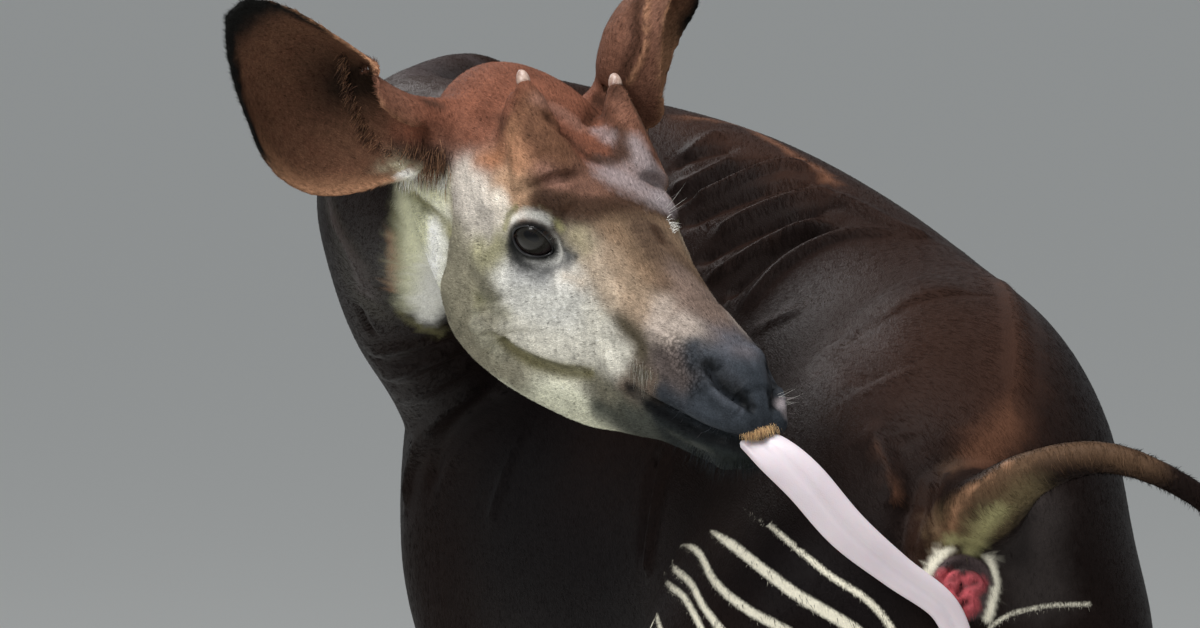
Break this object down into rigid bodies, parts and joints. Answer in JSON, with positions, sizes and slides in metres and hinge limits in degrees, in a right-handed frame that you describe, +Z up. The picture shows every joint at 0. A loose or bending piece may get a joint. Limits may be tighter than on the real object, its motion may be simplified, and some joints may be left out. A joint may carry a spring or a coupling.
{
  "type": "okapi",
  "caption": "Life-size standing okapi with its head turned back over its left flank, long tongue out, cupped ears, skin-covered horns, raised tail and banded legs.",
  "frame": {"origin": "middle of the whole body's footprint, at the level of the soles", "axes": "+X the way the hips point, +Y the animal's left, +Z up"},
  "size_m": [1.3798, 1.008, 1.7259],
  "materials": {
    "body_coat": "short velvety dark chocolate coat with a soft sheen, cream stripes on the haunches",
    "face_coat": "short pale grey-brown coat, darker round the eye and on the muzzle",
    "leg_coat": "short cream coat with dark bands",
    "ear_coat": "short reddish brown coat, darker towards the edge",
    "horn": "bare worn horn, pinkish white",
    "hoof": "dark satin horn",
    "eye": "wet dark eye",
    "tongue": "moist pale lavender pink skin",
    "tail_hair": "coarse dark hair"
  },
  "bodies": {
    "root": {"barrel": "body_coat", "ear_left": "ear_coat", "ear_right": "ear_coat", "eye_left": "eye", "eye_right": "eye", "fore_left_cannon": "leg_coat", "fore_left_hoof_inner": "hoof", "fore_left_hoof_outer": "hoof", "fore_left_leg": "leg_coat", "fore_left_pastern": "leg_coat", "fore_right_cannon": "leg_coat", "fore_right_hoof_inner": "hoof", "fore_right_hoof_outer": "hoof", "fore_right_leg": "leg_coat", "fore_right_pastern": "leg_coat", "head": "face_coat", "hind_left_cannon": "leg_coat", "hind_left_hoof_inner": "hoof", "hind_left_hoof_outer": "hoof", "hind_left_leg": "leg_coat", "hind_left_pastern": "leg_coat", "hind_right_cannon": "leg_coat", "hind_right_hoof_inner": "hoof", "hind_right_hoof_outer": "hoof", "hind_right_leg": "leg_coat", "hind_right_pastern": "leg_coat", "hindquarters": "body_coat", "horn_left": "face_coat", "horn_right": "face_coat", "horn_tip_left": "horn", "horn_tip_right": "horn", "neck_lower": "body_coat", "neck_upper": "body_coat", "shoulders": "body_coat", "tail": "body_coat", "tail_tuft": "tail_hair", "tongue": "tongue"}
  },
  "joints": []
}
